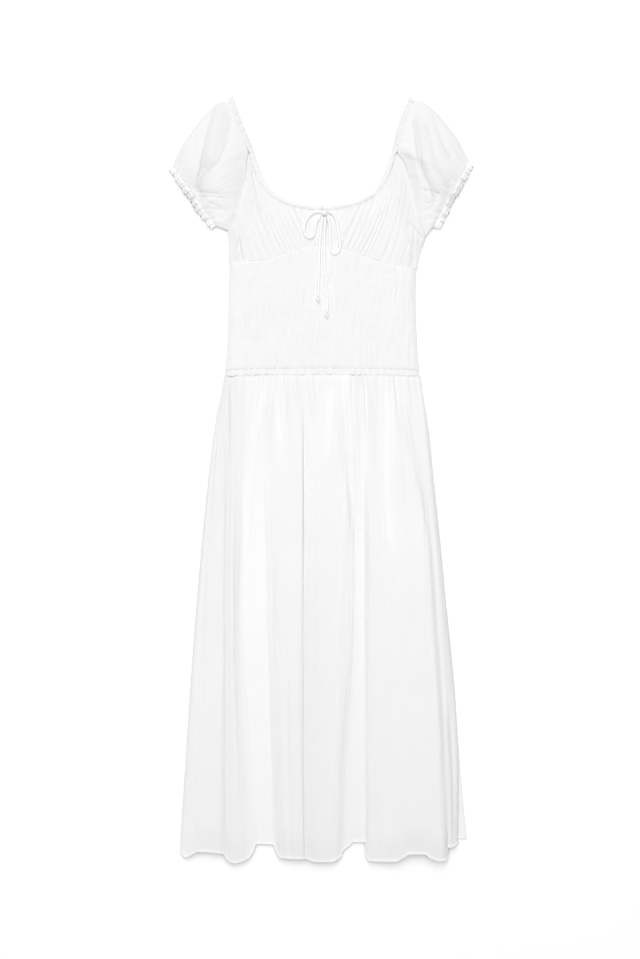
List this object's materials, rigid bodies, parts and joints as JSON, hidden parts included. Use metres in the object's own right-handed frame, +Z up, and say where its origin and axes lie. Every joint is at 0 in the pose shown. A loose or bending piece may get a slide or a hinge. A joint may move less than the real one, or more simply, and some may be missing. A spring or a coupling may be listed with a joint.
{
  "type": "peasant dress",
  "caption": "White crinkle-cotton peasant dress laid flat: low round drawstring neck, puff raglan sleeves, shirred midriff and a long gathered skirt.",
  "frame": {"origin": "centre of the dress as it lies, on the surface that it lies on", "axes": "+Z up from the surface, +Y from hem to shoulders, +X to the right as its front is seen"},
  "size_m": [0.4888, 1.2237, 0.0273],
  "materials": {
    "crinkle_cotton": "matte crinkled gauze",
    "cotton_cord": "matte twisted cord"
  },
  "bodies": {
    "root": {"front_bust": "crinkle_cotton", "front_midriff": "crinkle_cotton", "front_skirt": "crinkle_cotton", "back_bodice": "crinkle_cotton", "back_skirt": "crinkle_cotton", "waist_frill": "crinkle_cotton", "neck_casing_left": "crinkle_cotton", "neck_casing_right": "crinkle_cotton", "neck_frill_left": "crinkle_cotton", "neck_frill_right": "crinkle_cotton", "sleeve_left": "crinkle_cotton", "sleeve_right": "crinkle_cotton", "cuff_frill_left": "crinkle_cotton", "cuff_frill_right": "crinkle_cotton", "tie_knot": "cotton_cord", "tie_loop_left": "cotton_cord", "tie_loop_right": "cotton_cord", "tie_tail_left": "cotton_cord", "tie_tail_right": "cotton_cord", "tie_end_left": "cotton_cord", "tie_end_right": "cotton_cord"}
  },
  "joints": []
}
